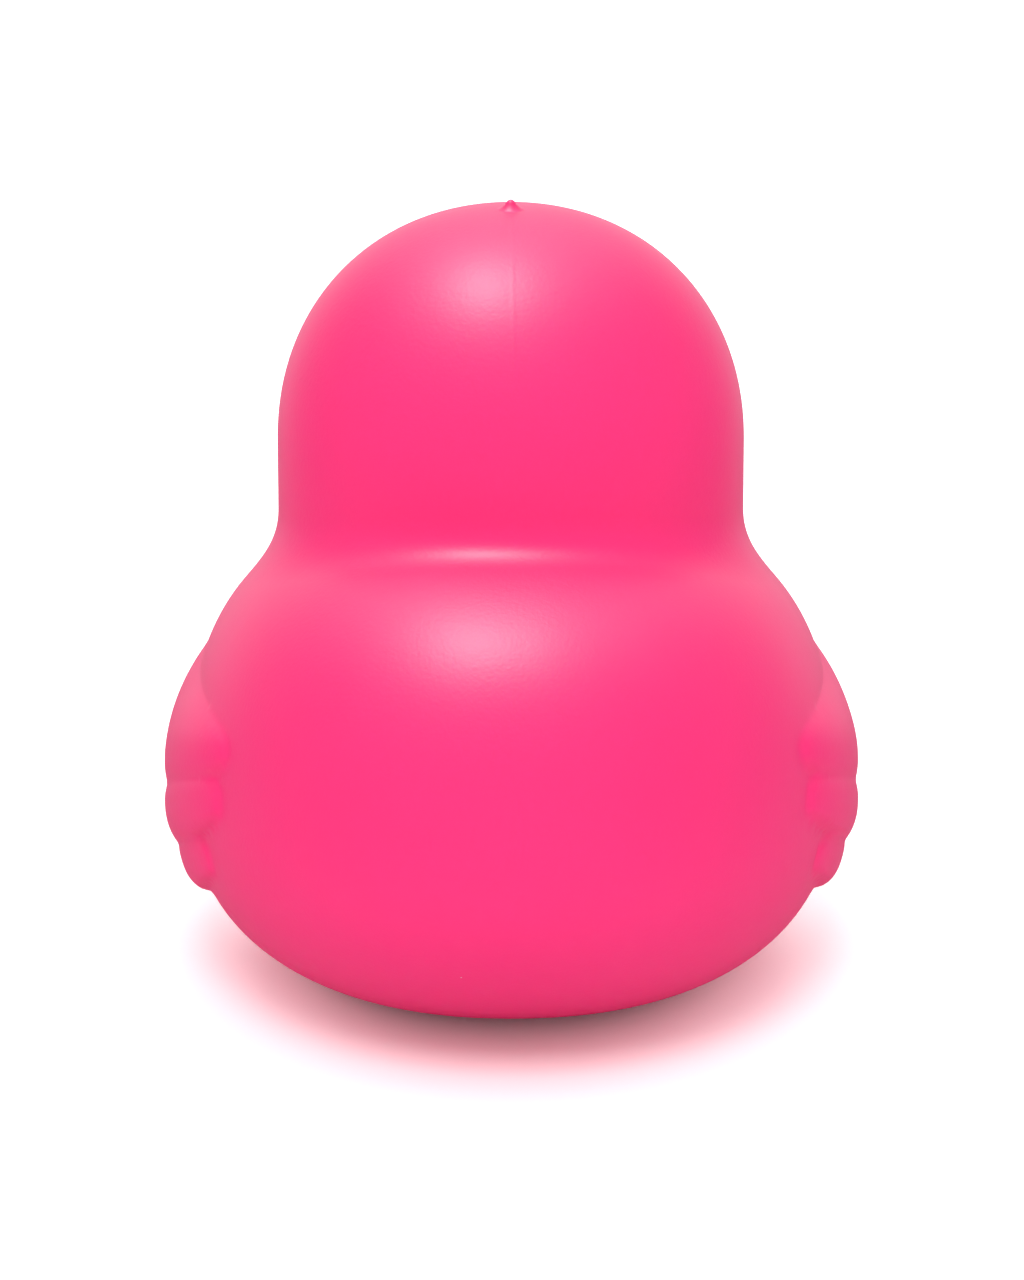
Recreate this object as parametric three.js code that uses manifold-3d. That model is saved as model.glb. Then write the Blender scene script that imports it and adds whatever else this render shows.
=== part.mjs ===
// A squeezable duck in soft foam, moulded in one piece with its bill, eyes and wings.
// Millimetres, +Z up. The duck faces -Y and its tail points to +Y. It stands on its flat underside.

import * as THREE from 'three';
import { mergeVertices } from 'three/addons/utils/BufferGeometryUtils.js';
import Module from 'manifold-3d';

const wasm = await Module();
wasm.setup();

// Body: an egg lying on its side, with the tail end tipped up
const BODY_HALF_WIDTH = 37.5;
const BODY_REAR_LENGTH = 54.5;
const BODY_FRONT_LENGTH = 37;
const BACK_RISE = 33.6;
const BELLY_DEPTH = 25;
const TAIL_TIP_UP = THREE.MathUtils.degToRad(8.5);

// How square the body is: 2 is an ellipse, and more is fuller towards its corners
const PLAN_FULLNESS = 2.15;
const SHOULDER_FULLNESS = 2.63;
const RUMP_FULLNESS = 2.67;
const FLANK_FULLNESS = 2.35;
const KEEL_FULLNESS = 2.27;

// Flat underside: how much of the belly it takes off, and the rounding at its edge
const UNDERSIDE_CUT = 3.5;
const UNDERSIDE_ROUNDING = 2;

// Head: a dome on an upright round neck, a little ahead of the body's middle
const HEAD_HALF_WIDTH = 26.8;
const HEAD_HALF_DEPTH = 27.9;
const DOME_HEIGHT = 27;
const DOME_FULLNESS = 2.12;
const NECK_RISE = 6.9;
const NECK_DEPTH = 20;
const HEAD_AHEAD = 2.5;
const NECK_FILLET = 4.3;

// Eyes: round raised buttons, by their direction from the middle of the dome
const EYE_DIAMETER = 11.5;
const EYE_PROUD = 0.8;
const EYE_FROM_FRONT = THREE.MathUtils.degToRad(67);
const EYE_LIFT = THREE.MathUtils.degToRad(19.5);
const EYE_ROOT = 2;

// Bill: an upper and a lower half that meet in the line of the mouth
const UPPER_BILL = { halfWidth: 12, reach: 11, thickness: 7.2, height: -0.2, lift: 1.6 };
const LOWER_BILL = { halfWidth: 10, reach: 8.2, thickness: 6, height: -4.6, lift: 0.8 };
const BILL_ROOT = 8;
const BILL_FLARE = 0.16;

// Wings: feathers that lie on the body's side and sweep up to the rear.
// Each is measured from the middle of its crest, and level is from where the body is widest.
// Taper is how much a side narrows from there to the tip, and shoulder is a hump on the upper side.
const WING_SETBACK = 1.5;
const FEATHER_BURY = 0.4;
const FEATHER_ROOT = 2.2;
const RIM_SHARE = 0.13;
const TIP_SOFTNESS = 0.5;
const FRONT_SOFTNESS = 1.3;
const EDGE_SOFTNESS = 0.5;
const SHOULDER_SOFTNESS = 1.2;
const SHOULDER_AT = -3;
const SHOULDER_SPREAD = 7;
const FEATHERS = [
  {
    level: 3.1, sweep: 19.5, rear: 28.4, front: 22, relief: 2.75,
    up: 11.4, upFullness: 2.6, upTaper: 0.6, upSoftness: SHOULDER_SOFTNESS,
    down: 5.4, downFullness: 2, downTaper: 0, shoulder: 1.8,
  },
  {
    level: -2.15, sweep: 17.5, rear: 28.1, front: 16, relief: 2.78,
    up: 4.8, upFullness: 3.6, upTaper: 0, upSoftness: EDGE_SOFTNESS,
    down: 5.7, downFullness: 2.6, downTaper: 0.4, shoulder: 0,
  },
  {
    level: -8.5, sweep: 15.7, rear: 23.8, front: 12, relief: 1.98,
    up: 4.4, upFullness: 3.6, upTaper: 0, upSoftness: EDGE_SOFTNESS,
    down: 4.2, downFullness: 2.6, downTaper: 0.5, shoulder: 0,
  },
];

// Vent nib: the short stub left on the crown where the mould was vented
const NIB_RADIUS = 0.46;
const NIB_STEM = 0.45;
const NIB_TIP = 0.7;
const NIB_ROOT = 1.5;

// Fineness of the faces
const COLUMNS = 68;
const BODY_RINGS = 22;
const NECK_RINGS = 9;
const DOME_RINGS = 10;
const FEATHER_SPOKES = 28;
const FEATHER_RINGS = 12;
const BILL_SPOKES = 24;
const BILL_RINGS = 12;
const EYE_SPOKES = 24;
const EYE_RINGS = 4;
const NIB_SPOKES = 10;
const NIB_RINGS = 3;

// Places that follow from the sizes above
const BODY_LEVEL = BELLY_DEPTH - UNDERSIDE_CUT;
const CREST_LEVEL = BODY_LEVEL + BACK_RISE;
const DOME_LEVEL = CREST_LEVEL + NECK_RISE;
const CROWN_LEVEL = DOME_LEVEL + DOME_HEIGHT;
const SEARCH_REACH = 2 * Math.max(BODY_REAR_LENGTH, BODY_FRONT_LENGTH, BODY_HALF_WIDTH);

// Two forms meet in a fillet instead of a sharp corner
function smoothUnion(a, b, fillet) {
  const closeness = Math.max(fillet - Math.abs(a - b), 0) / fillet;
  return Math.min(a, b) - (closeness * closeness * fillet) / 4;
}

function smoothCut(a, b, rounding) {
  return -smoothUnion(-a, -b, rounding);
}

// Each form is below zero inside, zero on its skin and above zero outside
function roundForm(x, y, z, gauge) {
  return Math.hypot(x, y, z) * (1 - 1 / Math.max(gauge, 1e-6));
}

function headForm(x, y, z) {
  const above = Math.max(z - DOME_LEVEL, 0);
  const below = Math.max(DOME_LEVEL - NECK_DEPTH - z, 0);
  const round = Math.hypot(x / HEAD_HALF_WIDTH, y / HEAD_HALF_DEPTH);
  const end = above / DOME_HEIGHT + below / HEAD_HALF_WIDTH;
  const gauge = Math.pow(Math.pow(round, DOME_FULLNESS) + Math.pow(end, DOME_FULLNESS), 1 / DOME_FULLNESS);
  return roundForm(x, y, above + below, gauge);
}

function bodyForm(x, y, z) {
  const back = y - HEAD_AHEAD;
  const up = z - BODY_LEVEL;
  const along = back * Math.cos(TAIL_TIP_UP) + up * Math.sin(TAIL_TIP_UP);
  const rise = up * Math.cos(TAIL_TIP_UP) - back * Math.sin(TAIL_TIP_UP);
  const isRear = along > 0;
  const isUp = rise > 0;
  const length = isRear ? BODY_REAR_LENGTH : BODY_FRONT_LENGTH;
  const height = isUp ? BACK_RISE : BELLY_DEPTH;
  const sideFullness = isUp ? SHOULDER_FULLNESS : FLANK_FULLNESS;
  const rearFullness = isUp ? RUMP_FULLNESS : KEEL_FULLNESS;
  const endFullness = isRear ? rearFullness : sideFullness;
  const sideShare = Math.pow(Math.abs(x) / BODY_HALF_WIDTH, PLAN_FULLNESS);
  const endShare = Math.pow(Math.abs(along) / length, PLAN_FULLNESS);
  const plan = Math.max(sideShare + endShare, 1e-12);
  const fullness = (sideFullness * sideShare + endFullness * endShare) / plan;
  const gauge = Math.pow(
    Math.pow(plan, fullness / PLAN_FULLNESS) + Math.pow(Math.abs(rise) / height, fullness),
    1 / fullness,
  );
  return roundForm(x, along, rise, gauge);
}

function skinForm(x, y, z) {
  const blended = smoothUnion(headForm(x, y, z), bodyForm(x, y, z), NECK_FILLET);
  return smoothCut(blended, -z, UNDERSIDE_ROUNDING);
}

// The point where a ray from inside the duck comes out through its skin
function skinPoint(from, direction) {
  const tolerance = 1e-5;
  let inside = 0;
  let outside = SEARCH_REACH;
  const point = new THREE.Vector3();
  while (outside - inside > tolerance) {
    const middle = (inside + outside) / 2;
    point.copy(from).addScaledVector(direction, middle);
    if (skinForm(point.x, point.y, point.z) > tolerance) {
      outside = middle;
    } else {
      inside = middle;
    }
  }
  return point;
}

function skinNormal(point) {
  const step = 0.05;
  const { x, y, z } = point;
  return new THREE.Vector3(
    skinForm(x + step, y, z) - skinForm(x - step, y, z),
    skinForm(x, y + step, z) - skinForm(x, y - step, z),
    skinForm(x, y, z + step) - skinForm(x, y, z - step),
  ).normalize();
}

// A closed geometry as a solid for joining, without the empty triangles at its poles
function solid(geometry) {
  geometry.deleteAttribute('normal');
  geometry.deleteAttribute('uv');
  const merged = mergeVertices(geometry);
  const index = merged.index.array;
  const faces = [];
  for (let i = 0; i < index.length; i += 3) {
    const [a, b, c] = [index[i], index[i + 1], index[i + 2]];
    if (a !== b && b !== c && c !== a) {
      faces.push(a, b, c);
    }
  }
  return new wasm.Manifold(
    new wasm.Mesh({
      numProp: 3,
      vertProperties: new Float32Array(merged.attributes.position.array),
      triVerts: new Uint32Array(faces),
    }),
  );
}

function geometryOf(manifold) {
  const mesh = manifold.getMesh();
  const geometry = new THREE.BufferGeometry();
  geometry.setAttribute('position', new THREE.BufferAttribute(mesh.vertProperties, 3));
  geometry.setIndex(new THREE.BufferAttribute(mesh.triVerts, 1));
  geometry.computeVertexNormals();
  return geometry;
}

// Moves every vertex of a geometry to the place that the rule gives it
function reshape(geometry, rule) {
  const position = geometry.attributes.position;
  const vertex = new THREE.Vector3();
  for (let i = 0; i < position.count; i += 1) {
    vertex.fromBufferAttribute(position, i);
    const placed = rule(vertex);
    position.setXYZ(i, placed.x, placed.y, placed.z);
  }
  return geometry;
}

// Levels of the rings: close together where the skin lies flat, at the belly, the crest and the crown
function ringLevels() {
  const levels = [];
  for (let i = 0; i <= BODY_RINGS; i += 1) {
    const turn = -Math.cos((Math.PI * i) / BODY_RINGS);
    levels.push(BODY_LEVEL + turn * (turn > 0 ? BACK_RISE : BODY_LEVEL));
  }
  for (let i = 1; i <= NECK_RINGS; i += 1) {
    levels.push(CREST_LEVEL + (NECK_RISE * i) / NECK_RINGS);
  }
  for (let i = 1; i < DOME_RINGS; i += 1) {
    levels.push(DOME_LEVEL + DOME_HEIGHT * Math.sin((Math.PI / 2) * (i / DOME_RINGS)));
  }
  return levels;
}

// Head and body in one skin: a turned blank whose rings are drawn out to the blended form
function duckForm() {
  const profile = ringLevels().map((level) => new THREE.Vector2(1, level));
  profile.unshift(new THREE.Vector2(0, 0));
  profile.push(new THREE.Vector2(0, CROWN_LEVEL));
  const blank = new THREE.LatheGeometry(profile, COLUMNS).rotateX(Math.PI / 2);
  return solid(
    reshape(blank, (vertex) => {
      const towardsHead = THREE.MathUtils.clamp((vertex.z - CREST_LEVEL) / NECK_RISE, 0, 1);
      const middle = new THREE.Vector3(0, HEAD_AHEAD * (1 - towardsHead), vertex.z);
      const outward = new THREE.Vector3(vertex.x, vertex.y, 0);
      if (outward.length() < 0.5) {
        return middle;
      }
      return skinPoint(middle, outward.normalize());
    }),
  );
}

// One feather as a pad bent round the body's side. The blank is a ball whose upper half becomes
// the feather's face and whose lower half becomes its root under the skin.
function feather(shape, side) {
  const blank = new THREE.SphereGeometry(1, FEATHER_SPOKES, FEATHER_RINGS);
  return solid(
    reshape(blank, (vertex) => {
      const across = -side * vertex.z;
      const isRear = vertex.x > 0;
      const isUp = across > 0;
      const length = isRear ? shape.rear : shape.front;
      const width = isUp ? shape.up : shape.down;
      const rearFullness = isUp ? shape.upFullness : shape.downFullness;
      const fullness = isRear ? rearFullness : 2;
      const radius = Math.min(Math.hypot(vertex.x, across), 1);
      const lengthShare = (vertex.x / Math.max(radius, 1e-9)) ** 2;
      const widthShare = 1 - lengthShare;
      const taper = isUp ? shape.upTaper : shape.downTaper;
      const alongShare = Math.sign(vertex.x) * radius * Math.pow(lengthShare, 1 / fullness);
      const acrossShare = Math.sign(across) * radius * Math.pow(Math.max(widthShare, 0), 1 / fullness);
      const u = length * alongShare;
      const hump = shape.shoulder * Math.exp(-(((u - SHOULDER_AT) / SHOULDER_SPREAD) ** 2));
      const v = width * acrossShare * (1 - taper * alongShare) + hump * Math.max(acrossShare, 0);

      const alongSoftness = isRear ? TIP_SOFTNESS : FRONT_SOFTNESS;
      const acrossSoftness = isUp ? shape.upSoftness : EDGE_SOFTNESS;
      const softness = alongSoftness * lengthShare + acrossSoftness * widthShare;
      const inward = 1 - radius * radius;
      const face = (1 - RIM_SHARE) * Math.pow(inward, softness) + RIM_SHARE * Math.sqrt(inward);
      const isFace = vertex.y > 1e-6;
      const offset = isFace ? shape.relief * face : -FEATHER_BURY - FEATHER_ROOT * Math.abs(vertex.y);

      const sweep = THREE.MathUtils.degToRad(shape.sweep);
      const y = HEAD_AHEAD + WING_SETBACK + u * Math.cos(sweep) - v * Math.sin(sweep);
      const z = BODY_LEVEL + shape.level + u * Math.sin(sweep) + v * Math.cos(sweep);
      const onSkin = skinPoint(new THREE.Vector3(0, y, z), new THREE.Vector3(side, 0, 0));
      return onSkin.clone().addScaledVector(skinNormal(onSkin), offset);
    }),
  );
}

// One half of the bill: a flattened ball, flared towards its tip and lifted there
function billHalf(shape) {
  const halfLength = (BILL_ROOT + shape.reach) / 2;
  const middle = -HEAD_HALF_DEPTH + BILL_ROOT - halfLength;
  const blank = new THREE.SphereGeometry(1, BILL_SPOKES, BILL_RINGS);
  return solid(
    reshape(blank, (vertex) => {
      const forward = Math.max(vertex.z, 0);
      return new THREE.Vector3(
        vertex.x * shape.halfWidth * (1 + BILL_FLARE * forward),
        middle - vertex.z * halfLength,
        DOME_LEVEL + shape.height + (vertex.y * shape.thickness) / 2 + shape.lift * forward * forward,
      );
    }),
  );
}

// One eye: a low dome turned on its own axis, standing square to the head's skin
function eye(side) {
  const radius = EYE_DIAMETER / 2;
  const profile = [new THREE.Vector2(0, -EYE_ROOT), new THREE.Vector2(radius, -EYE_ROOT)];
  for (let i = 0; i <= EYE_RINGS; i += 1) {
    const turn = (Math.PI / 2) * (i / EYE_RINGS);
    profile.push(new THREE.Vector2(radius * Math.cos(turn), EYE_PROUD * Math.sin(turn)));
  }
  const direction = new THREE.Vector3(
    side * Math.cos(EYE_LIFT) * Math.sin(EYE_FROM_FRONT),
    -Math.cos(EYE_LIFT) * Math.cos(EYE_FROM_FRONT),
    Math.sin(EYE_LIFT),
  );
  const seat = skinPoint(new THREE.Vector3(0, 0, DOME_LEVEL), direction);
  const square = new THREE.Quaternion().setFromUnitVectors(new THREE.Vector3(0, 1, 0), skinNormal(seat));
  const dome = new THREE.LatheGeometry(profile, EYE_SPOKES);
  dome.applyQuaternion(square).translate(seat.x, seat.y, seat.z);
  return solid(dome);
}

// The nib on the crown, with a rounded end
function nib() {
  const profile = [new THREE.Vector2(0, -NIB_ROOT), new THREE.Vector2(NIB_RADIUS, -NIB_ROOT)];
  for (let i = 0; i <= NIB_RINGS; i += 1) {
    const turn = (Math.PI / 2) * (i / NIB_RINGS);
    profile.push(new THREE.Vector2(NIB_RADIUS * Math.cos(turn), NIB_STEM + NIB_TIP * Math.sin(turn)));
  }
  const stub = new THREE.LatheGeometry(profile, NIB_SPOKES).rotateX(Math.PI / 2);
  return solid(stub.translate(0, 0, CROWN_LEVEL));
}

function duckBody() {
  let duck = duckForm();
  for (const side of [-1, 1]) {
    for (const shape of FEATHERS) {
      duck = duck.add(feather(shape, side));
    }
    duck = duck.add(eye(side));
  }
  duck = duck.add(billHalf(UPPER_BILL)).add(billHalf(LOWER_BILL)).add(nib());

  const foam = new THREE.MeshStandardMaterial({ color: 0xfc4482, roughness: 0.45, metalness: 0 });
  const mesh = new THREE.Mesh(geometryOf(duck), foam);
  mesh.name = 'duck_body';
  return mesh;
}

// The origin lies under the middle of the duck, on the surface that it stands on
const duck = new THREE.Group();
duck.add(duckBody());
const extent = new THREE.Box3().setFromObject(duck);
duck.position.y = -(extent.min.y + extent.max.y) / 2;

export default duck;
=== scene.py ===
# %% [markdown]
# # A soft foam duck to squeeze
#
# The real toy is one moulding of self-skinned foam. Nothing on it is a separate part: the wings, the bill
# and the eyes are raised on the same skin, and only the eyes and the bill are painted. So this lesson
# builds one closed mesh and gives it three finishes.
#
# The imported model is the fixed frame. It is loaded first, and its box is kept and printed at the end.

import math

import bmesh
import bpy
import numpy as np
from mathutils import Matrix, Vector


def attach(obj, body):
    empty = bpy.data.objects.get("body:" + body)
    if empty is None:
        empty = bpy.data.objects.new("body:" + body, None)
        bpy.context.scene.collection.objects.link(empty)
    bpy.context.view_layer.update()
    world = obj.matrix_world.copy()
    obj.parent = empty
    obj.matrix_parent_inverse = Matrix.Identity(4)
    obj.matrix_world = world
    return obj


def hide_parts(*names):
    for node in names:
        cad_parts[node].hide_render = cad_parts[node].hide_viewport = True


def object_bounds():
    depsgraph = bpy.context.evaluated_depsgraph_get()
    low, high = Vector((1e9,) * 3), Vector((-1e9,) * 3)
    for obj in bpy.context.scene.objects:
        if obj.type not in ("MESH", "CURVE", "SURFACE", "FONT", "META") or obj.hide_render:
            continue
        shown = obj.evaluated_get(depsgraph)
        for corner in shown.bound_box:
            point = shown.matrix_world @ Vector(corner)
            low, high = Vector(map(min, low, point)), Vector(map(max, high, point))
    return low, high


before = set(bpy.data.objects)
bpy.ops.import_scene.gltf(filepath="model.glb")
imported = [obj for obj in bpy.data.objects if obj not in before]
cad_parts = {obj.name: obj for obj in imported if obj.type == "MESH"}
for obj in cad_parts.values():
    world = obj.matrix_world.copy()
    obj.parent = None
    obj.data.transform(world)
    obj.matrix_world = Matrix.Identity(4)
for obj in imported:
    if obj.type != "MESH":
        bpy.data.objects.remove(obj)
cad_low, cad_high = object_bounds()
MM = 0.001
cad_size = [round((high - low) / MM, 1) for low, high in zip(cad_low, cad_high)]
print("the packed duck measures", cad_size, "mm")

# %% [markdown]
# ## The shape as a rule
#
# The skin of a squeeze toy has no edges to trace, so it is hard to draw as a cage of faces. It could be
# sculpted, or built from subdivided boxes, but then the neck crease would never sit right. A rule is easier
# to steer: a form is a function that is below zero inside the duck, zero on its skin and above zero
# outside. The sizes are in millimetres, from an origin on the head's upright axis. The duck faces -Y.

# %% Sizes of the body
BODY_HALF_WIDTH = 37.5
BODY_REAR_LENGTH = 54.5
BODY_FRONT_LENGTH = 37.0
BACK_RISE = 33.6
BELLY_DEPTH = 25.0
TAIL_TIP_UP = math.radians(8.5)
UNDERSIDE_CUT = 3.5
UNDERSIDE_ROUNDING = 2.0
BODY_LEVEL = BELLY_DEPTH - UNDERSIDE_CUT
PLAN_FULLNESS = 2.15
SHOULDER_FULLNESS = 2.63
RUMP_FULLNESS = 2.67
FLANK_FULLNESS = 2.35
KEEL_FULLNESS = 2.27
print("the body is widest", BODY_LEVEL, "mm above the floor")

# %% Sizes of the head
HEAD_HALF_WIDTH = 26.8
HEAD_HALF_DEPTH = 27.9
DOME_HEIGHT = 27.0
DOME_FULLNESS = 2.12
NECK_RISE = 6.9
NECK_DEPTH = 20.0
HEAD_AHEAD = 2.5
NECK_FILLET = 4.3
DOME_LEVEL = BODY_LEVEL + BACK_RISE + NECK_RISE
CROWN_LEVEL = DOME_LEVEL + DOME_HEIGHT
print("the crown is", CROWN_LEVEL, "mm above the floor")

# %% [markdown]
# Two forms are joined by taking the smaller value, which leaves a sharp crease. Where the two values are
# close, a little is taken off, and that fills the crease with a fillet. The same trick upside down rounds
# the edge of the flat underside.


# %% Joining two forms in a fillet
def smooth_union(a, b, fillet):
    closeness = np.maximum(fillet - np.abs(a - b), 0) / fillet
    return np.minimum(a, b) - closeness**2 * fillet / 4


def smooth_cut(a, b, rounding):
    return -smooth_union(-a, -b, rounding)


# %% [markdown]
# The head is a dome on a short round neck. The body is an egg on its side with the tail tipped up. Both use
# a fullness in place of the 2 in the equation of an ellipse: a little more than 2 pushes the form out
# towards its corners, which is what gives the toy its plump rump and its round shoulders.


# %% The head and the body
def length_of(*parts):
    return np.sqrt(sum(part**2 for part in parts))


def head_form(points):
    x, y, z = points.T
    above = np.maximum(z - DOME_LEVEL, 0)
    below = np.maximum(DOME_LEVEL - NECK_DEPTH - z, 0)
    around = np.hypot(x / HEAD_HALF_WIDTH, y / HEAD_HALF_DEPTH)
    end = above / DOME_HEIGHT + below / HEAD_HALF_WIDTH
    gauge = (around**DOME_FULLNESS + end**DOME_FULLNESS) ** (1 / DOME_FULLNESS)
    return length_of(x, y, above + below) * (1 - 1 / np.maximum(gauge, 1e-6))


def body_form(points):
    x, y, z = points.T
    back, up = y - HEAD_AHEAD, z - BODY_LEVEL
    along = back * math.cos(TAIL_TIP_UP) + up * math.sin(TAIL_TIP_UP)
    rise = up * math.cos(TAIL_TIP_UP) - back * math.sin(TAIL_TIP_UP)
    is_rear, is_up = along > 0, rise > 0
    length = np.where(is_rear, BODY_REAR_LENGTH, BODY_FRONT_LENGTH)
    height = np.where(is_up, BACK_RISE, BELLY_DEPTH)
    side_fullness = np.where(is_up, SHOULDER_FULLNESS, FLANK_FULLNESS)
    rear_fullness = np.where(is_up, RUMP_FULLNESS, KEEL_FULLNESS)
    end_fullness = np.where(is_rear, rear_fullness, side_fullness)
    side_share = (np.abs(x) / BODY_HALF_WIDTH) ** PLAN_FULLNESS
    end_share = (np.abs(along) / length) ** PLAN_FULLNESS
    plan = np.maximum(side_share + end_share, 1e-12)
    fullness = (side_fullness * side_share + end_fullness * end_share) / plan
    gauge = (plan ** (fullness / PLAN_FULLNESS) + (np.abs(rise) / height) ** fullness) ** (1 / fullness)
    return length_of(x, along, rise) * (1 - 1 / np.maximum(gauge, 1e-6))


def skin_form(points):
    blended = smooth_union(head_form(points), body_form(points), NECK_FILLET)
    return smooth_cut(blended, -points[:, 2], UNDERSIDE_ROUNDING)


# %% [markdown]
# A ray from inside the duck leaves it once. Halving the stretch between a point inside and a point outside
# finds that place to a hair's breadth after two dozen steps, for all the rays at once. The slope of the
# form there is the direction that the skin faces.

# %% Finding the skin
SEARCH_REACH = 120.0
HALVINGS = 26
SLOPE_STEP = 0.05


def skin_points(starts, directions):
    near = np.zeros(len(directions))
    far = np.full(len(directions), SEARCH_REACH)
    for _ in range(HALVINGS):
        middle = (near + far) / 2
        is_outside = skin_form(starts + directions * middle[:, None]) > 0
        far = np.where(is_outside, middle, far)
        near = np.where(is_outside, near, middle)
    return starts + directions * far[:, None]


def skin_normals(points):
    steps = SLOPE_STEP * np.eye(3)
    slopes = [skin_form(points + step) - skin_form(points - step) for step in steps]
    normals = np.stack(slopes, axis=1)
    return normals / np.linalg.norm(normals, axis=1, keepdims=True)


# %% [markdown]
# ## From points to meshes
#
# Each raised detail starts as a Blender ball or a turned profile, the blank, whose vertices are then moved.
# One helper reads the vertices out as an array and one writes them back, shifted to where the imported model
# stands and turned into metres.

# %% Reading and placing vertices
UPPER_BILL = {"half_width": 12.0, "reach": 11.0, "thickness": 7.2, "height": -0.2, "lift": 1.6}
LOWER_BILL = {"half_width": 10.0, "reach": 8.2, "thickness": 6.0, "height": -4.6, "lift": 0.8}
head_axis_y = cad_low.y / MM + HEAD_HALF_DEPTH + UPPER_BILL["reach"]
print("the head's axis stands at y =", round(head_axis_y, 2), "mm")


def blank_points(blank):
    return np.array([vertex.co for vertex in blank.verts])


def solid_from(name, blank, points, material):
    placed = (points + [0, head_axis_y, 0]) * MM
    for vertex, place in zip(blank.verts, placed):
        vertex.co = place
    bmesh.ops.recalc_face_normals(blank, faces=blank.faces)
    mesh = bpy.data.meshes.new(name)
    blank.to_mesh(mesh)
    blank.free()
    mesh.materials.append(material)
    solid = bpy.data.objects.new(name, mesh)
    bpy.context.scene.collection.objects.link(solid)
    return solid


# %% [markdown]
# ## Shared effects of the finishes
#
# The foam has a skin with a very fine leathery grain, because it cures against the mould's wall. The paint
# is thin, so the same grain shows through it, only weaker. An effect that several finishes need is built
# once, as a node group with its own inputs, and each finish sets them as it likes. A small helper keeps the
# node code short: it makes a node, sets its fields and inputs, and places it.


# %% A helper for nodes
def add_node(tree, kind, fields=None, inputs=None):
    node = tree.nodes.new(kind)
    for name, value in (fields or {}).items():
        setattr(node, name, value)
    for name, value in (inputs or {}).items():
        if isinstance(value, bpy.types.NodeSocket):
            tree.links.new(value, node.inputs[name])
        else:
            node.inputs[name].default_value = value
    return node


def math_node(tree, operation, first, second=0.0, third=0.0):
    return add_node(
        tree, "ShaderNodeMath", {"operation": operation}, {0: first, 1: second, 2: third}
    ).outputs[0]


# %% [markdown]
# The grain is a height. Two noises give it: a fine one for the pores of the skin and a coarser, stretched
# one for the faint wrinkles. A slow swell under them stands for foam that never cures quite even. Noise can
# be fed by UVs, but a moulded skin has no seams to hide them in, so the object's own coordinates are used.

# %% Node group for the moulded skin's grain
MM_PER_METRE = 1000.0
WRINKLE_SCALE_SHARE = 0.3
SWELL_SCALE = 60.0

skin_grain = bpy.data.node_groups.new("skin_grain", "ShaderNodeTree")
for name, value in {"Pore Size": 0.5, "Pores": 1.0, "Wrinkles": 1.0, "Swell": 1.0}.items():
    socket = skin_grain.interface.new_socket(name, in_out="INPUT", socket_type="NodeSocketFloat")
    socket.default_value = value
skin_grain.interface.new_socket("Height", in_out="OUTPUT", socket_type="NodeSocketFloat")

grain_in = skin_grain.nodes.new("NodeGroupInput")
grain_out = skin_grain.nodes.new("NodeGroupOutput")
grain_place = add_node(skin_grain, "ShaderNodeTexCoord").outputs["Object"]
pore_scale = math_node(skin_grain, "DIVIDE", MM_PER_METRE, grain_in.outputs["Pore Size"])
pores = add_node(
    skin_grain, "ShaderNodeTexNoise", {}, {"Vector": grain_place, "Scale": pore_scale, "Detail": 3.0}
).outputs["Fac"]
wrinkle_scale = math_node(skin_grain, "MULTIPLY", pore_scale, WRINKLE_SCALE_SHARE)
wrinkles = add_node(
    skin_grain,
    "ShaderNodeTexNoise",
    {},
    {"Vector": grain_place, "Scale": wrinkle_scale, "Detail": 3.0, "Roughness": 0.6, "Distortion": 0.8},
).outputs["Fac"]
swell = add_node(
    skin_grain, "ShaderNodeTexNoise", {}, {"Vector": grain_place, "Scale": SWELL_SCALE, "Detail": 1.0}
).outputs["Fac"]
weighted_pores = math_node(skin_grain, "MULTIPLY", pores, grain_in.outputs["Pores"])
with_wrinkles = math_node(
    skin_grain, "MULTIPLY_ADD", wrinkles, grain_in.outputs["Wrinkles"], weighted_pores
)
with_swell = math_node(skin_grain, "MULTIPLY_ADD", swell, grain_in.outputs["Swell"], with_wrinkles)
skin_grain.links.new(with_swell, grain_out.inputs["Height"])
print("node group", skin_grain.name, "has", len(skin_grain.nodes), "nodes")

# %% [markdown]
# The skin is slightly tacky and picks up dust: a few pale specks, each well under a millimetre across.
# Voronoi cells place them. Only the cells whose random number is high carry a speck, so that they stay
# rare.

# %% Node group for specks of dust
dust_specks = bpy.data.node_groups.new("dust_specks", "ShaderNodeTree")
for name, value in {"Cell Size": 6.0, "Speck Size": 0.12, "Share": 0.1}.items():
    socket = dust_specks.interface.new_socket(name, in_out="INPUT", socket_type="NodeSocketFloat")
    socket.default_value = value
dust_specks.interface.new_socket("Mask", in_out="OUTPUT", socket_type="NodeSocketFloat")

dust_in = dust_specks.nodes.new("NodeGroupInput")
dust_out = dust_specks.nodes.new("NodeGroupOutput")
dust_place = add_node(dust_specks, "ShaderNodeTexCoord").outputs["Object"]
cell_scale = math_node(dust_specks, "DIVIDE", MM_PER_METRE, dust_in.outputs["Cell Size"])
cells = add_node(dust_specks, "ShaderNodeTexVoronoi", {}, {"Vector": dust_place, "Scale": cell_scale})
speck_reach = math_node(
    dust_specks, "DIVIDE", dust_in.outputs["Speck Size"], dust_in.outputs["Cell Size"]
)
is_near = math_node(dust_specks, "LESS_THAN", cells.outputs["Distance"], speck_reach)
cell_number = add_node(
    dust_specks, "ShaderNodeSeparateColor", {}, {"Color": cells.outputs["Color"]}
).outputs["Red"]
is_chosen = math_node(dust_specks, "LESS_THAN", cell_number, dust_in.outputs["Share"])
speck_mask = math_node(dust_specks, "MULTIPLY", is_near, is_chosen)
dust_specks.links.new(speck_mask, dust_out.inputs["Mask"])
print("node group", dust_specks.name, "has", len(dust_specks.nodes), "nodes")

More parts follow.
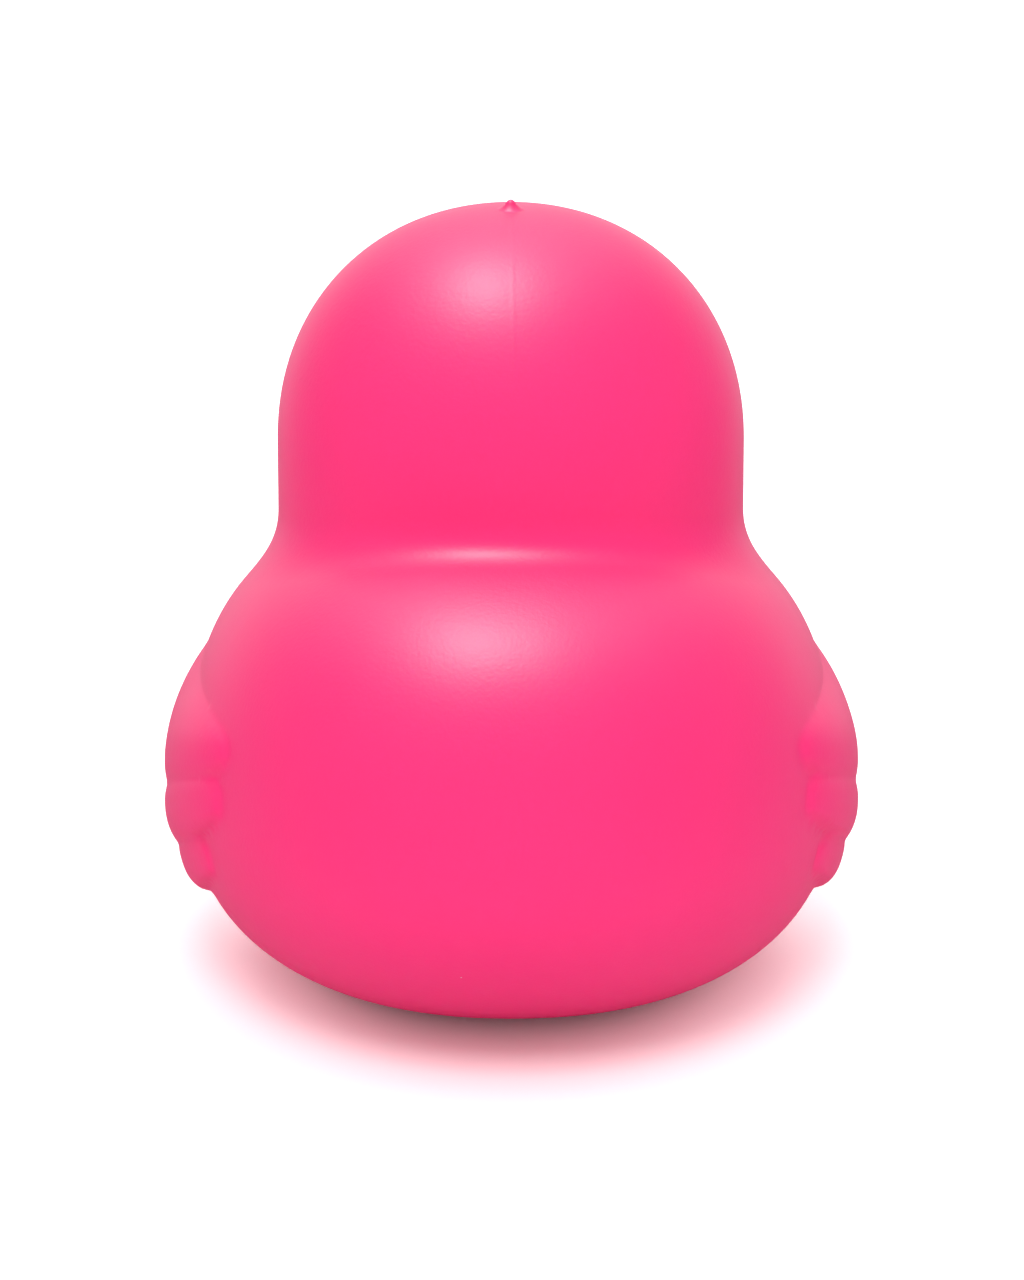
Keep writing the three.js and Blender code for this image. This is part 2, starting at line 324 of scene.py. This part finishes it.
# %% [markdown]
# ## The pink foam
#
# The pigment goes right through the foam, so the colour is deep and even, and the skin over it has a satin
# gloss with a pale rim where it turns away. Sheen could make that rim, but it would also dull the middle,
# so the gloss of the skin itself makes it. Some light enters the foam and comes out again a few millimetres
# on, mostly red, which keeps the shaded sides warm: that is the subsurface part.

# %% Foam: colour
FOAM_PINK = (0.95, 0.011, 0.175, 1.0)
FOAM_PINK_PALER = (0.96, 0.016, 0.19, 1.0)
DUST_WHITE = (0.85, 0.75, 0.78, 1.0)
BLOTCH_SCALE = 45.0


def new_finish(name):
    finish = bpy.data.materials.new(name)
    finish.use_nodes = True
    shader = finish.node_tree.nodes["Principled BSDF"]
    return finish, finish.node_tree, shader


foam, foam_tree, foam_shader = new_finish("foam_skin")
foam_place = add_node(foam_tree, "ShaderNodeTexCoord").outputs["Object"]
blotches = add_node(
    foam_tree, "ShaderNodeTexNoise", {}, {"Vector": foam_place, "Scale": BLOTCH_SCALE, "Detail": 2.0}
).outputs["Fac"]
foam_colour = add_node(
    foam_tree,
    "ShaderNodeMix",
    {"data_type": "RGBA"},
    {"Factor": blotches, "A": FOAM_PINK, "B": FOAM_PINK_PALER},
)
foam_dust = add_node(foam_tree, "ShaderNodeGroup", {"node_tree": dust_specks})
dusted_foam = add_node(
    foam_tree,
    "ShaderNodeMix",
    {"data_type": "RGBA"},
    {"Factor": foam_dust.outputs["Mask"], "A": foam_colour.outputs["Result"], "B": DUST_WHITE},
)
foam_tree.links.new(dusted_foam.outputs["Result"], foam_shader.inputs["Base Color"])
print("foam colour is mixed from", FOAM_PINK[:3], "and", FOAM_PINK_PALER[:3])

# %% [markdown]
# The mould was in two halves, left and right, so a faint parting line runs over the crown and down the
# back. It could be a ridge in the mesh, but it is thinner than a hair, so it is a height in the material: a
# narrow bump where the distance from the middle plane is near nothing, fading in and out with a slow noise.

# %% Foam: parting line, grain and gloss
PARTING_HALF_WIDTH = 0.45 * MM
PARTING_STARTS = 0.42
PARTING_FULL = 0.6
PARTING_HEIGHT = 0.5
FOAM_BUMP = 0.028 * MM
FOAM_ROUGHNESS_LOW = 0.47
FOAM_ROUGHNESS_HIGH = 0.53
FOAM_GLOSS = 0.5
LIGHT_UNDER_SKIN = 0.15
LIGHT_REACH = 1.5 * MM
LIGHT_REACH_BY_COLOUR = (1.0, 0.25, 0.4)

foam_x = add_node(foam_tree, "ShaderNodeSeparateXYZ", {}, {"Vector": foam_place}).outputs["X"]
off_plane = math_node(foam_tree, "ABSOLUTE", foam_x)
parting = add_node(
    foam_tree,
    "ShaderNodeMapRange",
    {"interpolation_type": "SMOOTHSTEP"},
    {"Value": off_plane, "From Min": 0.0, "From Max": PARTING_HALF_WIDTH, "To Min": 1.0, "To Max": 0.0},
).outputs["Result"]
parting_strength = add_node(
    foam_tree,
    "ShaderNodeMapRange",
    {"interpolation_type": "SMOOTHSTEP"},
    {"Value": blotches, "From Min": PARTING_STARTS, "From Max": PARTING_FULL, "To Max": PARTING_HEIGHT},
).outputs["Result"]
foam_grain = add_node(
    foam_tree,
    "ShaderNodeGroup",
    {"node_tree": skin_grain},
    {"Pore Size": 0.45, "Pores": 0.8, "Wrinkles": 0.6, "Swell": 2.0},
).outputs["Height"]
foam_height = math_node(foam_tree, "MULTIPLY_ADD", parting, parting_strength, foam_grain)
foam_bump = add_node(
    foam_tree,
    "ShaderNodeBump",
    {},
    {"Strength": 1.0, "Distance": FOAM_BUMP, "Height": foam_height},
)
foam_tree.links.new(foam_bump.outputs["Normal"], foam_shader.inputs["Normal"])
foam_roughness = add_node(
    foam_tree,
    "ShaderNodeMapRange",
    {},
    {"Value": blotches, "To Min": FOAM_ROUGHNESS_LOW, "To Max": FOAM_ROUGHNESS_HIGH},
).outputs["Result"]
foam_tree.links.new(foam_roughness, foam_shader.inputs["Roughness"])
foam_shader.inputs["Specular IOR Level"].default_value = FOAM_GLOSS
foam_shader.inputs["Subsurface Weight"].default_value = LIGHT_UNDER_SKIN
foam_shader.inputs["Subsurface Scale"].default_value = LIGHT_REACH
foam_shader.inputs["Subsurface Radius"].default_value = LIGHT_REACH_BY_COLOUR
print("foam has a bump of at most", round(FOAM_BUMP / MM, 3), "mm")

# %% [markdown]
# ## Paint for the eyes and the bill
#
# The paint is sprayed through a mask onto the raised shapes. It is a thin film, so it is a little glossier
# than the bare skin and its grain is shallower. The dust group is used again, since dust also lands on
# paint.

# %% Paint in one function for both colours
EYE_BLACK = (0.012, 0.011, 0.013, 1.0)
EYE_ROUGHNESS = 0.22
BILL_ORANGE = (0.86, 0.19, 0.02, 1.0)
BILL_ROUGHNESS = 0.34
PAINT_BUMP = 0.006 * MM
PAINT_DUST_SHARE = 0.06


def painted(name, colour, roughness):
    finish, tree, shader = new_finish(name)
    dust = add_node(tree, "ShaderNodeGroup", {"node_tree": dust_specks}, {"Share": PAINT_DUST_SHARE})
    dusted = add_node(
        tree,
        "ShaderNodeMix",
        {"data_type": "RGBA"},
        {"Factor": dust.outputs["Mask"], "A": colour, "B": DUST_WHITE},
    )
    tree.links.new(dusted.outputs["Result"], shader.inputs["Base Color"])
    grain = add_node(
        tree, "ShaderNodeGroup", {"node_tree": skin_grain}, {"Pore Size": 0.4, "Pores": 0.7, "Swell": 2.0}
    )
    bump = add_node(
        tree,
        "ShaderNodeBump",
        {},
        {"Strength": 1.0, "Distance": PAINT_BUMP, "Height": grain.outputs["Height"]},
    )
    tree.links.new(bump.outputs["Normal"], shader.inputs["Normal"])
    shader.inputs["Roughness"].default_value = roughness
    return finish


eye_paint = painted("eye_paint", EYE_BLACK, EYE_ROUGHNESS)
bill_paint = painted("bill_paint", BILL_ORANGE, BILL_ROUGHNESS)
print("paints:", eye_paint.name, "and", bill_paint.name)

# %% [markdown]
# ## Wings
#
# Each wing is three feathers that lie over each other and sweep up to the rear. On the real toy they are
# raised in the mould, and the foam fills their creases only softly. They could be separate pads joined to
# the body, but a union leaves a knife-sharp crease. Here a feather is a lift instead: a height in
# millimetres by which the skin is raised, square to itself. The largest lift wins, and a fillet rounds each
# place where two lifts meet.
#
# A feather is laid out flat in its own two directions, along and across, and tapers towards its tip. The
# first one has a hump for the shoulder of the wing. The edges at the rear stand up steeply, and the front
# and the shoulder run out softly.

# %% Sizes of the feathers
WING_SETBACK = 1.5
FEATHER_FILLET = 0.32
FALL_OUTSIDE = 9.0
RIM_SHARE = 0.13
TIP_SOFTNESS = 0.5
FRONT_SOFTNESS = 1.3
EDGE_SOFTNESS = 0.5
SHOULDER_SOFTNESS = 1.2
SHOULDER_AT = -3.0
SHOULDER_SPREAD = 7.0
FRONT_FULLNESS = 2.0
LEAST_WIDTH = 0.5
FEATHERS = [
    {
        "level": 3.1, "sweep": 19.5, "rear": 28.4, "front": 22.0, "relief": 2.75,
        "up": 11.4, "up_fullness": 2.6, "up_taper": 0.6, "up_softness": SHOULDER_SOFTNESS,
        "down": 5.4, "down_fullness": 2.0, "down_taper": 0.0, "shoulder": 1.8,
    },
    {
        "level": -2.15, "sweep": 17.5, "rear": 28.1, "front": 16.0, "relief": 2.78,
        "up": 4.8, "up_fullness": 3.6, "up_taper": 0.0, "up_softness": EDGE_SOFTNESS,
        "down": 5.7, "down_fullness": 2.6, "down_taper": 0.4, "shoulder": 0.0,
    },
    {
        "level": -8.5, "sweep": 15.7, "rear": 23.8, "front": 12.0, "relief": 1.98,
        "up": 4.4, "up_fullness": 3.6, "up_taper": 0.0, "up_softness": EDGE_SOFTNESS,
        "down": 4.2, "down_fullness": 2.6, "down_taper": 0.5, "shoulder": 0.0,
    },
]
print("each wing has", len(FEATHERS), "feathers")


# %% The lift of a feather
def feather_lift(points, shape):
    sweep = math.radians(shape["sweep"])
    behind = points[:, 1] - HEAD_AHEAD - WING_SETBACK
    above = points[:, 2] - BODY_LEVEL - shape["level"]
    u = behind * math.cos(sweep) + above * math.sin(sweep)
    v = above * math.cos(sweep) - behind * math.sin(sweep)
    is_rear, is_up = u > 0, v > 0
    along = u / np.where(is_rear, shape["rear"], shape["front"])
    hump = shape["shoulder"] * np.exp(-(((u - SHOULDER_AT) / SHOULDER_SPREAD) ** 2))
    upper_width = shape["up"] * (1 - shape["up_taper"] * along) + hump
    lower_width = shape["down"] * (1 - shape["down_taper"] * along)
    across = v / np.maximum(np.where(is_up, upper_width, lower_width), LEAST_WIDTH)

    rear_fullness = np.where(is_up, shape["up_fullness"], shape["down_fullness"])
    fullness = np.where(is_rear, rear_fullness, FRONT_FULLNESS)
    radius = (np.abs(along) ** fullness + np.abs(across) ** fullness) ** (1 / fullness)
    length_share = (np.abs(along) / np.maximum(radius, 1e-9)) ** fullness
    along_softness = np.where(is_rear, TIP_SOFTNESS, FRONT_SOFTNESS)
    across_softness = np.where(is_up, shape["up_softness"], EDGE_SOFTNESS)
    softness = along_softness * length_share + across_softness * (1 - length_share)
    inward = np.clip(1 - radius**2, 0, 1)
    face = (1 - RIM_SHARE) * inward**softness + RIM_SHARE * np.sqrt(inward)
    return shape["relief"] * face - FALL_OUTSIDE * np.maximum(radius - 1, 0)


def wing_lift(points):
    lift = np.zeros(len(points))
    for shape in FEATHERS:
        lift = smooth_cut(lift, feather_lift(points, shape), FEATHER_FILLET)
    return lift


# %% [markdown]
# ## Head and body
#
# The blank is an icosphere, because its triangles are all about the same size, so no pole shows in the
# gloss. Every point of the duck can be seen from a spot in the middle of the body, even the neck crease, so
# each vertex is simply drawn out along its own ray until it meets the skin. Where the wings lift the skin,
# the triangles are first cut finer, so that the creases come out round.

# %% Draw out the head and body
BLANK_STEPS = 7
WING_CUTS = 2
MIDDLE = np.array([0.0, 2.0, 36.0])


def drawn_out(blank):
    rays = blank_points(blank)
    rays /= np.linalg.norm(rays, axis=1, keepdims=True)
    return skin_points(MIDDLE, rays)


blank = bmesh.new()
bmesh.ops.create_icosphere(blank, subdivisions=BLANK_STEPS, radius=1.0)
is_lifted = wing_lift(drawn_out(blank)) > 0
finer = [edge for edge in blank.edges if any(is_lifted[vertex.index] for vertex in edge.verts)]
bmesh.ops.subdivide_edges(blank, edges=finer, cuts=WING_CUTS, use_grid_fill=True)
bmesh.ops.triangulate(blank, faces=blank.faces)
on_skin = drawn_out(blank)
lifted = on_skin + skin_normals(on_skin) * wing_lift(on_skin)[:, None]
duck = solid_from("foam_duck", blank, lifted, foam)
raised = []
print("head, body and wings:", len(duck.data.polygons), "faces")

# %% [markdown]
# ## Eyes, bill and vent nib
#
# An eye is a low dome turned on its own axis. Set on the round head as it is, its rim would stand clear of
# the skin at the sides, so each of its points is moved to the skin under it and then raised by its own
# height. The nib on the crown is the stub left where the mould let its air out: a blunt cone whose foot
# flares into the skin. A turned profile suits the eye and the nib, so one function turns both.


# %% Turn a profile
SEAM_GAP = 1e-3


def dome_profile(radius, proud, bury, rings):
    shares = np.linspace(0, 1, rings + 1)
    return [(radius * (1 - share), proud * share * (2 - share) - bury) for share in shares]


def turned_solid(profile, root, spokes):
    solid = bmesh.new()
    edges = []
    previous = None
    for reach, height in [(0.0, -root), (profile[0][0], -root)] + profile:
        vertex = solid.verts.new((reach, 0.0, height))
        if previous is not None:
            edges.append(solid.edges.new((previous, vertex)))
        previous = vertex
    bmesh.ops.spin(
        solid, geom=solid.verts[:] + edges, axis=(0, 0, 1), cent=(0, 0, 0), angle=math.tau, steps=spokes
    )
    bmesh.ops.remove_doubles(solid, verts=solid.verts, dist=SEAM_GAP)
    return solid


# %% Eyes
EYE_DIAMETER = 11.5
EYE_PROUD = 0.6
EYE_BURY = 0.04
EYE_ROOT = 2.0
EYE_RINGS = 14
EYE_SPOKES = 72
EYE_FROM_FRONT = math.radians(67)
EYE_LIFT = math.radians(19.5)
HEAD_MIDDLE = np.array([0.0, 0.0, DOME_LEVEL])


def bent_round_head(blank, side):
    ahead = math.cos(EYE_LIFT)
    sight = (side * ahead * math.sin(EYE_FROM_FRONT), -ahead * math.cos(EYE_FROM_FRONT), math.sin(EYE_LIFT))
    seat = skin_points(HEAD_MIDDLE, np.array([sight]))
    turn = Vector((0, 0, 1)).rotation_difference(Vector(skin_normals(seat)[0])).to_matrix()
    flat = blank_points(blank) * [1, 1, 0]
    rays = flat @ np.array(turn).T + seat - HEAD_MIDDLE
    rays /= np.linalg.norm(rays, axis=1, keepdims=True)
    under_eye = skin_points(HEAD_MIDDLE, rays)
    return under_eye + skin_normals(under_eye) * blank_points(blank)[:, 2:]


for side, side_name in ((1, "left"), (-1, "right")):
    dome = turned_solid(dome_profile(EYE_DIAMETER / 2, EYE_PROUD, EYE_BURY, EYE_RINGS), EYE_ROOT, EYE_SPOKES)
    raised.append(solid_from(f"{side_name}_eye", dome, bent_round_head(dome, side), eye_paint))
print("eyes are", EYE_DIAMETER, "mm across and stand", round(EYE_PROUD - EYE_BURY, 2), "mm proud")

# %% Vent nib
NIB_RADIUS = 0.5
NIB_STEM = 0.85
NIB_TIP = 0.3
NIB_ROOT = 1.5
NIB_FOOT = 1.7
NIB_HOLLOW = 1.8
NIB_BURY = 0.08
NIB_FOOT_RINGS = 11
NIB_TIP_RINGS = 6
NIB_SPOKES = 32

foot_shares = np.linspace(0, 1, NIB_FOOT_RINGS + 1)[:-1]
foot_reaches = NIB_FOOT - (NIB_FOOT - NIB_RADIUS) * foot_shares
foot_heights = NIB_STEM * foot_shares**NIB_HOLLOW - NIB_BURY
tip_shares = np.linspace(0, 1, NIB_TIP_RINGS + 1)
tip_reaches = NIB_RADIUS * (1 - tip_shares)
tip_heights = NIB_STEM + NIB_TIP * tip_shares * (2 - tip_shares)
nib_profile = [*zip(foot_reaches, foot_heights), *zip(tip_reaches, tip_heights)]
nib = turned_solid(nib_profile, NIB_ROOT, NIB_SPOKES)
raised.append(solid_from("vent_nib", nib, blank_points(nib) + [0, 0, CROWN_LEVEL], foam))
print("the nib is", 2 * NIB_RADIUS, "mm across and", round(NIB_STEM + NIB_TIP, 2), "mm tall")

# %% [markdown]
# The bill is two flattened balls, an upper and a lower one, that reach back into the head and flare towards
# the tip. The line of the mouth is where they meet.

# %% Bill
BILL_ROOT = 8.0
BILL_FLARE = 0.16
BILL_SPOKES = 72
BILL_RINGS = 48

for name, shape in (("upper_bill", UPPER_BILL), ("lower_bill", LOWER_BILL)):
    ball = bmesh.new()
    bmesh.ops.create_uvsphere(ball, u_segments=BILL_SPOKES, v_segments=BILL_RINGS, radius=1.0)
    sideways, upward, forward = blank_points(ball).T
    half_length = (BILL_ROOT + shape["reach"]) / 2
    tip_share = np.maximum(forward, 0)
    x = sideways * shape["half_width"] * (1 + BILL_FLARE * tip_share)
    y = -HEAD_HALF_DEPTH + BILL_ROOT - half_length - forward * half_length
    z = DOME_LEVEL + shape["height"] + upward * shape["thickness"] / 2 + shape["lift"] * tip_share**2
    raised.append(solid_from(name, ball, np.stack([x, y, z], axis=1), bill_paint))
print("the bill reaches", UPPER_BILL["reach"], "mm ahead of the head")

# %% [markdown]
# ## One closed skin
#
# The eyes, the bill and the nib overlap the head, so they could simply be left standing in it. A Boolean
# union makes the one closed skin that the moulding has, with nothing hidden within. Each solid brings its
# own finish with it.

# %% Join everything into the duck
CREASE_ANGLE = math.radians(24)

for solid in raised:
    joint = duck.modifiers.new(solid.name, "BOOLEAN")
    joint.operation = "UNION"
    joint.solver = "MANIFOLD"
    joint.object = solid
    joint.material_mode = "TRANSFER"
joined = bpy.data.meshes.new_from_object(duck.evaluated_get(bpy.context.evaluated_depsgraph_get()))
duck.modifiers.clear()
duck.data = joined
for solid in raised:
    bpy.data.objects.remove(solid)
print("joined skin:", len(joined.polygons), "faces in", [slot.name for slot in joined.materials])

# %% [markdown]
# Foam can't fill a sharp inner corner of its mould, so each crease is a small fillet. A bevel would need
# clean edges, which a union doesn't leave. Instead the vertices within a fraction of a millimetre of a
# crease are eased towards their neighbours a few times, and the rest of the skin stays as it is. Shading is
# smooth all over.

# %% Ease the creases
EASE_RINGS = 2
EASE_PASSES = 6
EASE_SHARE = 0.5

skin = bmesh.new()
skin.from_mesh(joined)
creases = [edge for edge in skin.edges if edge.is_manifold and edge.calc_face_angle() > CREASE_ANGLE]
near_crease = {vertex for edge in creases for vertex in edge.verts}
for _ in range(EASE_RINGS):
    near_crease |= {edge.other_vert(vertex) for vertex in near_crease for edge in vertex.link_edges}
eased = sorted(near_crease, key=lambda vertex: vertex.index)
for _ in range(EASE_PASSES):
    bmesh.ops.smooth_vert(
        skin, verts=eased, factor=EASE_SHARE, use_axis_x=True, use_axis_y=True, use_axis_z=True
    )
skin.to_mesh(joined)
skin.free()
joined.shade_smooth()
print("eased", len(eased), "of", len(joined.vertices), "vertices along", len(creases), "crease edges")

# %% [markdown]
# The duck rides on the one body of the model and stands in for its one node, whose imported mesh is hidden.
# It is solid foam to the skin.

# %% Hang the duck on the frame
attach(duck, "root")
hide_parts("duck_body")

# %% [markdown]
# ## Studio
#
# The toy stands on a plain white table in a white room, with even light from all sides and softboxes above.
# A long lens looks down at it by 15 degrees. The camera's distance and lens come from the size of one photo
# pixel at the head's axis.

# %% Camera
FRAME_WIDTH = 1024
FRAME_HEIGHT = 1280
PIXEL = 0.11511 * MM
CAMERA_DISTANCE = 0.7
CAMERA_ELEVATION = math.radians(15)
CAMERA_TURN = math.radians(0.8)
HEAD_AXIS_PIXEL = (510.8, 439.0)
SENSOR = 36.0

back = Vector(
    (
        math.sin(CAMERA_TURN) * math.cos(CAMERA_ELEVATION),
        math.cos(CAMERA_TURN) * math.cos(CAMERA_ELEVATION),
        math.sin(CAMERA_ELEVATION),
    )
)
right = (-back).cross(Vector((0, 0, 1))).normalized()
up = right.cross(-back)
head_middle = Vector((0, head_axis_y * MM, DOME_LEVEL * MM))
eye_point = head_middle + back * CAMERA_DISTANCE
frame_middle = (
    head_middle
    + right * (FRAME_WIDTH / 2 - HEAD_AXIS_PIXEL[0]) * PIXEL
    - up * (FRAME_HEIGHT / 2 - HEAD_AXIS_PIXEL[1]) * PIXEL
)
view_line = frame_middle - eye_point

camera_data = bpy.data.cameras.new("photo_camera")
camera_data.sensor_width = SENSOR
camera_data.lens = SENSOR * view_line.length / (PIXEL * FRAME_HEIGHT)
camera = bpy.data.objects.new("photo_camera", camera_data)
camera.location = eye_point
camera.rotation_mode = "QUATERNION"
camera.rotation_quaternion = view_line.to_track_quat("-Z", "Y")
bpy.context.scene.collection.objects.link(camera)
bpy.context.scene.camera = camera
print("lens", round(camera_data.lens), "mm at", round(view_line.length, 3), "m")

# %% [markdown]
# The floor is a long strip of paper with the dim sides of the room left and right of it. The camera sees it
# white enough to leave the picture's ground blank, and it still takes the toy's soft shadow. A little glow,
# only for the camera and only where the sky is open, keeps the shadow's rim from turning too pink. The
# gloss mirrors the paper dimmer than it is.

# %% Floor
FLOOR_HALF_WIDTH = 0.14
FLOOR_AHEAD = 1.6
FLOOR_BEHIND = 0.9
FLOOR_WHITE = 0.9
FLOOR_SEEN = 1.15
FLOOR_MIRRORED = 0.4
FLOOR_LIFT = 0.38
LIFT_REACH = 0.08
LIFT_SAMPLES = 8

floor_mesh = bpy.data.meshes.new("floor")
corners = [(-FLOOR_HALF_WIDTH, -FLOOR_AHEAD, 0), (FLOOR_HALF_WIDTH, -FLOOR_AHEAD, 0)]
corners += [(FLOOR_HALF_WIDTH, FLOOR_BEHIND, 0), (-FLOOR_HALF_WIDTH, FLOOR_BEHIND, 0)]
floor_mesh.from_pydata(corners, [], [(0, 1, 2, 3)])
floor = bpy.data.objects.new("floor", floor_mesh)
bpy.context.scene.collection.objects.link(floor)
paper, paper_tree, paper_shader = new_finish("white_paper")
paper_tree.nodes.remove(paper_shader)
paper_path = add_node(paper_tree, "ShaderNodeLightPath")
is_seen = paper_path.outputs["Is Camera Ray"]
is_mirrored = paper_path.outputs["Is Glossy Ray"]
seen_white = math_node(paper_tree, "MULTIPLY_ADD", is_seen, FLOOR_SEEN - FLOOR_WHITE, FLOOR_WHITE)
paper_white = math_node(
    paper_tree, "MULTIPLY_ADD", is_mirrored, FLOOR_MIRRORED - FLOOR_WHITE, seen_white
)
paper_diffuse = add_node(paper_tree, "ShaderNodeBsdfDiffuse", {}, {"Color": paper_white})
open_sky = add_node(
    paper_tree, "ShaderNodeAmbientOcclusion", {"samples": LIFT_SAMPLES}, {"Distance": LIFT_REACH}
).outputs["AO"]
open_and_seen = math_node(paper_tree, "MULTIPLY", open_sky, is_seen)
lift = math_node(paper_tree, "MULTIPLY", open_and_seen, FLOOR_LIFT)
paper_glow = add_node(paper_tree, "ShaderNodeEmission", {}, {"Strength": lift})
paper_sum = add_node(
    paper_tree,
    "ShaderNodeAddShader",
    {},
    {0: paper_diffuse.outputs["BSDF"], 1: paper_glow.outputs["Emission"]},
)
paper_tree.links.new(paper_sum.outputs["Shader"], paper_tree.nodes["Material Output"].inputs["Surface"])
floor_mesh.materials.append(paper)
print("the floor is", 2 * FLOOR_HALF_WIDTH, "m wide and", FLOOR_AHEAD + FLOOR_BEHIND, "m long")

# %% [markdown]
# The world is the white room. It is even for the skin's colour. In the gloss only the backdrop is bright,
# and that makes the pale rim. World sampling is off, so the lit and the mirrored room don't mix.

# %% Room
ROOM_LIGHT = 0.93
BACKDROP_GLOW = 1.35
SIDE_GLOW = 0.07
BACKDROP_EDGE = -0.5
BACKDROP_FULL = -0.95

world = bpy.data.worlds.new("white_room")
bpy.context.scene.world = world
world.use_nodes = True
world.cycles.sampling_method = "NONE"
room_tree = world.node_tree
room = room_tree.nodes["Background"]
room.inputs["Color"].default_value = (1, 1, 1, 1)
look = add_node(room_tree, "ShaderNodeTexCoord").outputs["Generated"]
ahead = add_node(room_tree, "ShaderNodeSeparateXYZ", {}, {"Vector": look}).outputs["Y"]
reflected_room = add_node(
    room_tree,
    "ShaderNodeMapRange",
    {"interpolation_type": "SMOOTHSTEP"},
    {
        "Value": ahead,
        "From Min": BACKDROP_EDGE,
        "From Max": BACKDROP_FULL,
        "To Min": SIDE_GLOW,
        "To Max": BACKDROP_GLOW,
    },
).outputs["Result"]
light_path = add_node(room_tree, "ShaderNodeLightPath")
lit_or_reflected = add_node(
    room_tree,
    "ShaderNodeMix",
    {"data_type": "FLOAT"},
    {"Factor": light_path.outputs["Is Glossy Ray"], "A": ROOM_LIGHT, "B": reflected_room},
).outputs["Result"]
room_strength = math_node(room_tree, "MAXIMUM", lit_or_reflected, light_path.outputs["Is Camera Ray"])
room_tree.links.new(room_strength, room.inputs["Strength"])
print("the room lights at", ROOM_LIGHT)


# %% [markdown]
# A softbox shows twice: as light on the colour and as a spot in the gloss. The two are set apart here, so
# that each can be placed on its own. A small bright box overhead makes the two soft highlights, and a wide
# panel behind it makes the glow round them. A third one, on the camera's side, lights the colour and the
# floor alone, which keeps the shadow short.


# %% Lamps
def softbox(name, place, target, size, power):
    lamp_data = bpy.data.lights.new(name, "AREA")
    lamp_data.shape = "RECTANGLE"
    lamp_data.size, lamp_data.size_y = size
    lamp_data.energy = power
    lamp = bpy.data.objects.new(name, lamp_data)
    lamp.location = place
    lamp.rotation_mode = "QUATERNION"
    lamp.rotation_quaternion = (Vector(target) - Vector(place)).to_track_quat("-Z", "Y")
    bpy.context.scene.collection.objects.link(lamp)
    return lamp


highlight_box = softbox("highlight_box", (0.285, -0.186, 1.93), head_middle, (0.3, 0.3), 39.0)
highlight_box.visible_diffuse = False
rear_panel = softbox("rear_panel", (0.02, -0.4, 0.85), head_middle, (1.1, 0.7), 4.0)
rear_panel.visible_diffuse = False
key_panel = softbox("key_panel", (0.06, 0.70, 0.78), head_middle, (0.35, 0.35), 3.2)
key_panel.visible_glossy = False
print("lamps:", [lamp.name for lamp in (highlight_box, rear_panel, key_panel)])

# %% [markdown]
# ## Colour and size
#
# Under the Standard view a colour renders about as it is written. Other views would roll off the bright pink
# and turn it pale. The imported model's box is printed at the end.

# %% Colour as written
bpy.context.scene.view_settings.view_transform = "Standard"
print("view transform:", bpy.context.scene.view_settings.view_transform)

# %% Print the imported model's box
print("CAD box", [round(v / MM, 2) for v in (*cad_low, *cad_high)])
